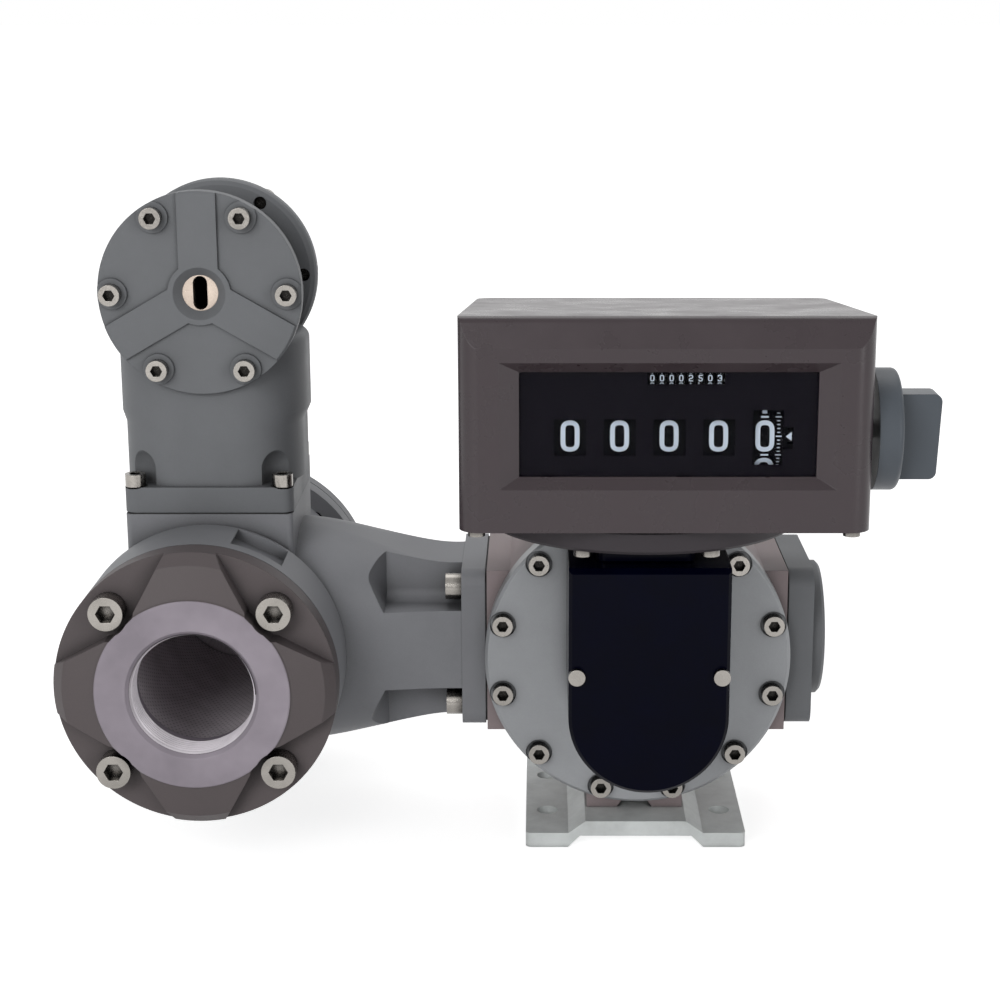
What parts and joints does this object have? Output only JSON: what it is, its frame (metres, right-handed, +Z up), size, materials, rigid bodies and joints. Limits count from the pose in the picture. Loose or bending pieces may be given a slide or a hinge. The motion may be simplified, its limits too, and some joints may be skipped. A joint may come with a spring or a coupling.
{
  "type": "mechanical flow meter",
  "caption": "Oval gear flow meter with a flanged strainer, an air eliminator on a column and a resettable mechanical counter with a side knob.",
  "frame": {"origin": "centre of the four base bolt holes, in the plane of the base's underside", "axes": "+Z up, -Y towards the counter's face and the inlet, +X along the outlet"},
  "size_m": [0.4055, 0.2455, 0.3237],
  "materials": {
    "base_paint": "painted casting",
    "body_casting": "painted casting",
    "plate_casting": "machined casting",
    "strainer_casting": "painted casting",
    "inlet_casting": "painted casting with a machined ring",
    "outlet_casting": "painted casting",
    "vent_casting": "painted casting",
    "bright_screw": "nickel plated",
    "shaft_steel": "ground",
    "gear_steel": "machined",
    "rotor_steel": "machined",
    "bush_brass": "machined",
    "insert_steel": "machined",
    "seal_rubber": "moulded",
    "basket_steel": "perforated sheet",
    "float_steel": "drawn sheet",
    "black_paint": "satin black paint",
    "disc_casting": "painted casting",
    "register_paint": "textured paint",
    "window_glass": "clear",
    "dial_paint": "matt black print",
    "wheel_plastic": "moulded with plain figures",
    "totalizer_plastic": "moulded with plain figures",
    "frame_steel": "plated sheet",
    "knob_paint": "painted casting"
  },
  "bodies": {
    "meter": {"base_bracket": "base_paint", "meter_body": "body_casting", "front_plate": "plate_casting", "rear_plate": "plate_casting", "strainer_body": "strainer_casting", "strainer_cover": "strainer_casting", "inlet_flange": "inlet_casting", "outlet_flange": "outlet_casting", "vent_column": "vent_casting", "vent_front_cover": "vent_casting", "vent_rear_cover": "vent_casting", "vent_insert": "insert_steel", "base_screws": "bright_screw", "plate_screws": "bright_screw", "port_screws": "bright_screw", "strainer_screws": "bright_screw", "column_screws": "bright_screw", "vent_cover_screws": "bright_screw", "adapter_screws": "bright_screw", "small_screws": "bright_screw", "plate_seals": "seal_rubber", "shaft_seal": "seal_rubber", "flange_gaskets": "seal_rubber", "shaft_bushes": "bush_brass", "train_bracket": "black_paint", "gear_cover": "black_paint", "strainer_basket": "basket_steel", "lever_pin": "shaft_steel", "adapter_disc": "disc_casting", "register_housing": "register_paint", "register_window": "window_glass", "dial_plate": "dial_paint", "register_frame": "frame_steel", "counter_spindles": "shaft_steel", "transfer_pinions": "gear_steel", "totalizer_wheels": "totalizer_plastic"},
    "lower_rotor": {"oval_gear_lower": "rotor_steel", "lower_gear_shaft": "shaft_steel", "drive_pinion": "gear_steel"},
    "upper_rotor": {"oval_gear_upper": "rotor_steel", "upper_gear_shaft": "shaft_steel"},
    "idler": {"idler_gear": "gear_steel", "idler_spindle": "shaft_steel"},
    "cross": {"cross_gears": "gear_steel", "cross_shaft": "shaft_steel"},
    "vertical": {"vertical_bevels": "gear_steel", "vertical_shaft": "shaft_steel"},
    "counter": {"counter_gears": "gear_steel", "counter_shaft": "shaft_steel"},
    "wheel_1": {"number_wheel_1": "wheel_plastic"},
    "wheel_2": {"number_wheel_2": "wheel_plastic"},
    "wheel_3": {"number_wheel_3": "wheel_plastic"},
    "wheel_4": {"number_wheel_4": "wheel_plastic"},
    "wheel_5": {"number_wheel_5": "wheel_plastic"},
    "carry_1": {"transfer_pinion_1": "gear_steel"},
    "totalizer_1": {"totalizer_first_wheel": "totalizer_plastic"},
    "reset": {"reset_shaft": "shaft_steel", "reset_knob": "knob_paint"},
    "float": {"float_lever": "float_steel", "float_ball": "float_steel"}
  },
  "joints": [
    {"name": "lower_rotor_spin", "type": "hinge", "parent": "meter", "child": "lower_rotor", "pos_m": [0, 0, 0.07497], "axis": [0, 1, 0], "continuous": true},
    {"name": "upper_rotor_spin", "type": "hinge", "parent": "meter", "child": "upper_rotor", "pos_m": [0, 0, 0.12183], "axis": [0, 1, 0], "continuous": true},
    {"name": "idler_spin", "type": "hinge", "parent": "meter", "child": "idler", "pos_m": [0, -0.06, 0.10647], "axis": [0, 1, 0], "continuous": true},
    {"name": "cross_spin", "type": "hinge", "parent": "meter", "child": "cross", "pos_m": [0, -0.08, 0.13347], "axis": [0, 1, 0], "continuous": true},
    {"name": "vertical_spin", "type": "hinge", "parent": "meter", "child": "vertical", "pos_m": [0, -0.062, 0.19], "axis": [0, 0, 1], "continuous": true},
    {"name": "counter_spin", "type": "hinge", "parent": "meter", "child": "counter", "pos_m": [0.04, -0.062, 0.2232], "axis": [1, 0, 0], "continuous": true},
    {"name": "wheel_1_spin", "type": "hinge", "parent": "meter", "child": "wheel_1", "pos_m": [0.0519, -0.1025, 0.2232], "axis": [1, 0, 0], "continuous": true},
    {"name": "wheel_2_spin", "type": "hinge", "parent": "meter", "child": "wheel_2", "pos_m": [0.0303, -0.1025, 0.2232], "axis": [1, 0, 0], "continuous": true},
    {"name": "wheel_3_spin", "type": "hinge", "parent": "meter", "child": "wheel_3", "pos_m": [0.0087, -0.1025, 0.2232], "axis": [1, 0, 0], "continuous": true},
    {"name": "wheel_4_spin", "type": "hinge", "parent": "meter", "child": "wheel_4", "pos_m": [-0.0129, -0.1025, 0.2232], "axis": [1, 0, 0], "continuous": true},
    {"name": "wheel_5_spin", "type": "hinge", "parent": "meter", "child": "wheel_5", "pos_m": [-0.0345, -0.1025, 0.2232], "axis": [1, 0, 0], "continuous": true},
    {"name": "carry_1_spin", "type": "hinge", "parent": "meter", "child": "carry_1", "pos_m": [0.0411, -0.07959, 0.19863], "axis": [1, 0, 0], "continuous": true},
    {"name": "totalizer_1_spin", "type": "hinge", "parent": "meter", "child": "totalizer_1", "pos_m": [0.03023, -0.1254, 0.2514], "axis": [1, 0, 0], "continuous": true},
    {"name": "reset_turn", "type": "hinge", "parent": "meter", "child": "reset", "pos_m": [0.1, -0.1025, 0.2232], "axis": [1, 0, 0], "range_deg": [0, 360]},
    {"name": "float_swing", "type": "hinge", "parent": "meter", "child": "float", "pos_m": [-0.2083, -0.026, 0.262], "axis": [1, 0, 0], "range_deg": [0, 15]}
  ],
  "couplings": [
    {"joint": "upper_rotor_spin", "follows": "lower_rotor_spin", "ratio": -1},
    {"joint": "idler_spin", "follows": "lower_rotor_spin", "ratio": -0.25},
    {"joint": "cross_spin", "follows": "lower_rotor_spin", "ratio": 0.05},
    {"joint": "vertical_spin", "follows": "lower_rotor_spin", "ratio": 0.05},
    {"joint": "counter_spin", "follows": "lower_rotor_spin", "ratio": 0.05},
    {"joint": "wheel_1_spin", "follows": "lower_rotor_spin", "ratio": -0.025},
    {"joint": "wheel_2_spin", "follows": "lower_rotor_spin", "ratio": -0.0025},
    {"joint": "wheel_3_spin", "follows": "lower_rotor_spin", "ratio": -0.00025},
    {"joint": "wheel_4_spin", "follows": "lower_rotor_spin", "ratio": -0.000025},
    {"joint": "wheel_5_spin", "follows": "lower_rotor_spin", "ratio": -0.0000025},
    {"joint": "carry_1_spin", "follows": "lower_rotor_spin", "ratio": 0.00625},
    {"joint": "totalizer_1_spin", "follows": "lower_rotor_spin", "ratio": 0.025}
  ]
}
